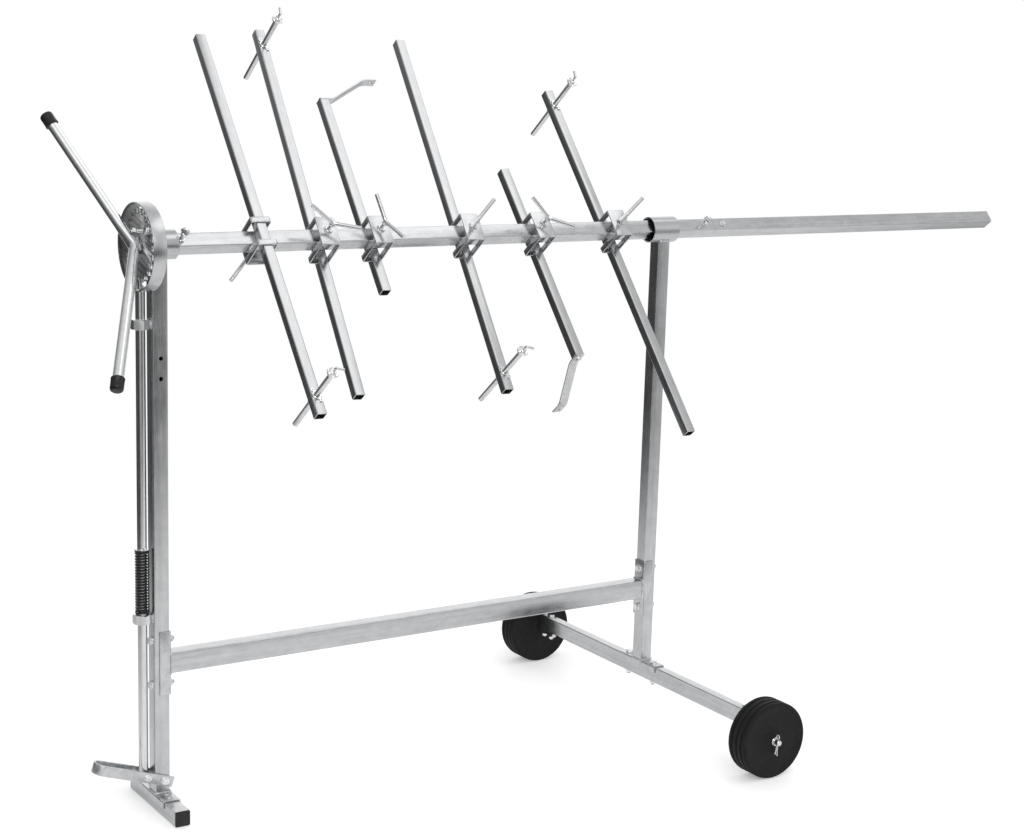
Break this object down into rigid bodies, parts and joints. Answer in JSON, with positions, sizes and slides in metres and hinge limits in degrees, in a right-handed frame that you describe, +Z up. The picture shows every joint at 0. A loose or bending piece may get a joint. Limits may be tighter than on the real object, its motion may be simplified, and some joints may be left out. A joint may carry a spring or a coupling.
{
  "type": "rotating panel stand",
  "caption": "Wheeled two-post stand with a square rotating shaft, clamp-on arms, V handle and foot-released index lock, for holding panels while they are painted.",
  "frame": {"origin": "on the floor at the middle of the foot bar's underside, under the left post", "axes": "+X along the shaft from the handle end to the free end, +Z up, +Y towards the back"},
  "size_m": [2.279, 0.948, 1.5161],
  "materials": {
    "zinc_plate": "satin zinc-plated steel",
    "bright_bar": "bright drawn and plated round bar",
    "turned_steel": "circular brushed steel disc",
    "fastener_zinc": "bright zinc fasteners",
    "spring_black": "black oiled spring wire",
    "black_plastic": "matt black plastic",
    "wheel_plastic": "matt black moulded wheel"
  },
  "bodies": {
    "frame": {"left_post": "zinc_plate", "right_post": "zinc_plate", "left_bearing_sleeve": "zinc_plate", "right_bearing_sleeve": "zinc_plate", "left_bush": "black_plastic", "right_bush": "black_plastic", "stretcher_tube": "zinc_plate", "left_stretcher_bracket": "zinc_plate", "right_stretcher_bracket": "zinc_plate", "foot_bar": "zinc_plate", "foot_saddle": "zinc_plate", "foot_plug_front": "black_plastic", "foot_plug_rear": "black_plastic", "axle_beam": "zinc_plate", "axle_saddle": "zinc_plate", "axle_stub_front": "zinc_plate", "axle_stub_rear": "zinc_plate", "index_guard": "zinc_plate", "upper_rod_guide": "fastener_zinc", "lower_rod_guide": "fastener_zinc", "pedal_pivot_bolt": "fastener_zinc", "return_spring": "spring_black"},
    "wheel_front": {"wheel_front": "wheel_plastic"},
    "wheel_rear": {"wheel_rear": "wheel_plastic"},
    "shaft": {"shaft_tube": "zinc_plate", "shaft_stop_screw": "fastener_zinc", "index_disc": "turned_steel", "handle_bar": "zinc_plate", "handle_cap_upper": "black_plastic", "handle_cap_lower": "black_plastic"},
    "extension": {"extension_tube": "zinc_plate", "extension_spigot": "zinc_plate"},
    "lock_screw": {"extension_lock_screw": "fastener_zinc"},
    "pedal": {"foot_pedal": "zinc_plate", "pedal_rod_bolt": "fastener_zinc"},
    "rod": {"lock_rod": "bright_bar"},
    "clamp_1": {"clamp_1": "zinc_plate"},
    "lever_1": {"lever_1": "bright_bar"},
    "arm_1": {"arm_1": "zinc_plate"},
    "hook_pin_1": {"hook_pin_1": "bright_bar"},
    "clamp_2": {"clamp_2": "zinc_plate"},
    "lever_2": {"lever_2": "bright_bar"},
    "arm_2": {"arm_2": "zinc_plate"},
    "hook_pin_2": {"hook_pin_2": "bright_bar"},
    "clamp_3": {"clamp_3": "zinc_plate"},
    "lever_3": {"lever_3": "bright_bar"},
    "arm_3": {"arm_3": "zinc_plate"},
    "hook_strap_3": {"hook_strap_3": "zinc_plate"},
    "clamp_4": {"clamp_4": "zinc_plate"},
    "lever_4": {"lever_4": "bright_bar"},
    "arm_4": {"arm_4": "zinc_plate"},
    "hook_pin_4": {"hook_pin_4": "bright_bar"},
    "clamp_5": {"clamp_5": "zinc_plate"},
    "lever_5": {"lever_5": "bright_bar"},
    "arm_5": {"arm_5": "zinc_plate"},
    "hook_strap_5": {"hook_strap_5": "zinc_plate"},
    "clamp_6": {"clamp_6": "zinc_plate"},
    "lever_6": {"lever_6": "bright_bar"},
    "arm_6": {"arm_6": "zinc_plate"},
    "hook_pin_6": {"hook_pin_6": "bright_bar"}
  },
  "joints": [
    {"name": "shaft_turn", "type": "hinge", "parent": "frame", "child": "shaft", "pos_m": [0, 0, 1.08], "axis": [1, 0, 0], "continuous": true},
    {"name": "wheel_front_spin", "type": "hinge", "parent": "frame", "child": "wheel_front", "pos_m": [1.144, -0.431, 0.08], "axis": [0, 1, 0], "continuous": true},
    {"name": "wheel_rear_spin", "type": "hinge", "parent": "frame", "child": "wheel_rear", "pos_m": [1.144, 0.431, 0.08], "axis": [0, 1, 0], "continuous": true},
    {"name": "pedal_pivot", "type": "hinge", "parent": "frame", "child": "pedal", "pos_m": [0.003, 0, 0.058], "axis": [0, -1, 0], "range_deg": [0, 25], "stiffness_Nm_per_rad": 4, "springref_deg": -22.92},
    {"name": "rod_slide", "type": "slide", "parent": "frame", "child": "rod", "axis": [0, 0, -1], "range_m": [0, 0.0175], "deforming": ["return_spring"]},
    {"name": "extension_slide", "type": "slide", "parent": "shaft", "child": "extension", "axis": [1, 0, 0], "range_m": [0, 0.04]},
    {"name": "lock_screw_turn", "type": "hinge", "parent": "shaft", "child": "lock_screw", "pos_m": [1.25, 0, 1.08], "axis": [0, -0.7771, 0.6293], "range_deg": [-180, 180]},
    {"name": "clamp_1_slide", "type": "slide", "parent": "shaft", "child": "clamp_1", "axis": [1, 0, 0], "range_m": [-0.1, 0.04]},
    {"name": "lever_1_turn", "type": "hinge", "parent": "clamp_1", "child": "lever_1", "pos_m": [0.2005, 0.03109, 1.05483], "axis": [0, 0.7771, -0.6293], "range_deg": [-90, 90]},
    {"name": "arm_1_slide", "type": "slide", "parent": "clamp_1", "child": "arm_1", "axis": [0, 0.6293, 0.7771], "range_m": [-0.12, 0.12]},
    {"name": "hook_pin_1_slide", "type": "slide", "parent": "arm_1", "child": "hook_pin_1", "axis": [0, -0.7771, 0.6293], "range_m": [-0.07, 0.07]},
    {"name": "clamp_2_slide", "type": "slide", "parent": "shaft", "child": "clamp_2", "axis": [1, 0, 0], "range_m": [-0.03, 0.03]},
    {"name": "lever_2_turn", "type": "hinge", "parent": "clamp_2", "child": "lever_2", "pos_m": [0.3354, -0.03109, 1.10517], "axis": [0, -0.7771, 0.6293], "range_deg": [-90, 90]},
    {"name": "arm_2_slide", "type": "slide", "parent": "clamp_2", "child": "arm_2", "axis": [0.0515, 0.6285, 0.7761], "range_m": [-0.12, 0.12]},
    {"name": "hook_pin_2_slide", "type": "slide", "parent": "arm_2", "child": "hook_pin_2", "axis": [0, -0.7771, 0.6293], "range_m": [-0.07, 0.07]},
    {"name": "clamp_3_slide", "type": "slide", "parent": "shaft", "child": "clamp_3", "axis": [1, 0, 0], "range_m": [-0.03, 0.06]},
    {"name": "lever_3_turn", "type": "hinge", "parent": "clamp_3", "child": "lever_3", "pos_m": [0.4497, -0.03109, 1.10517], "axis": [0, -0.7771, 0.6293], "range_deg": [-90, 90]},
    {"name": "arm_3_slide", "type": "slide", "parent": "clamp_3", "child": "arm_3", "axis": [0.0175, 0.6292, 0.777], "range_m": [-0.15, 0.07]},
    {"name": "hook_strap_3_turn", "type": "hinge", "parent": "arm_3", "child": "hook_strap_3", "pos_m": [0.45573, 0.23693, 1.33239], "axis": [0.0175, 0.6292, 0.777], "range_deg": [-45, 45]},
    {"name": "clamp_4_slide", "type": "slide", "parent": "shaft", "child": "clamp_4", "axis": [1, 0, 0], "range_m": [-0.06, 0.05]},
    {"name": "lever_4_turn", "type": "hinge", "parent": "clamp_4", "child": "lever_4", "pos_m": [0.6575, -0.03109, 1.10517], "axis": [0, -0.7771, 0.6293], "range_deg": [-90, 90]},
    {"name": "arm_4_slide", "type": "slide", "parent": "clamp_4", "child": "arm_4", "axis": [0.0515, 0.6285, 0.7761], "range_m": [-0.12, 0.12]},
    {"name": "hook_pin_4_slide", "type": "slide", "parent": "arm_4", "child": "hook_pin_4", "axis": [0, -0.7771, 0.6293], "range_m": [-0.07, 0.07]},
    {"name": "clamp_5_slide", "type": "slide", "parent": "shaft", "child": "clamp_5", "axis": [1, 0, 0], "range_m": [-0.05, 0.06]},
    {"name": "lever_5_turn", "type": "hinge", "parent": "clamp_5", "child": "lever_5", "pos_m": [0.8256, -0.03109, 1.10517], "axis": [0, -0.7771, 0.6293], "range_deg": [-90, 90]},
    {"name": "arm_5_slide", "type": "slide", "parent": "clamp_5", "child": "arm_5", "axis": [-0.0222, 0.6292, 0.777], "range_m": [-0.13, 0.15]},
    {"name": "hook_strap_5_turn", "type": "hinge", "parent": "arm_5", "child": "hook_strap_5", "pos_m": [0.83177, -0.15543, 0.84785], "axis": [0.0222, -0.6292, -0.777], "range_deg": [-45, 45]},
    {"name": "clamp_6_slide", "type": "slide", "parent": "shaft", "child": "clamp_6", "axis": [1, 0, 0], "range_m": [-0.06, 0.04]},
    {"name": "lever_6_turn", "type": "hinge", "parent": "clamp_6", "child": "lever_6", "pos_m": [1.0186, -0.03109, 1.10517], "axis": [0, -0.7771, 0.6293], "range_deg": [-90, 90]},
    {"name": "arm_6_slide", "type": "slide", "parent": "clamp_6", "child": "arm_6", "axis": [-0.0175, 0.6292, 0.777], "range_m": [-0.12, 0.12]},
    {"name": "hook_pin_6_slide", "type": "slide", "parent": "arm_6", "child": "hook_pin_6", "axis": [0, -0.7771, 0.6293], "range_m": [-0.07, 0.07]}
  ],
  "couplings": [
    {"joint": "rod_slide", "follows": "pedal_pivot", "m_per_rad": 0.0367}
  ]
}
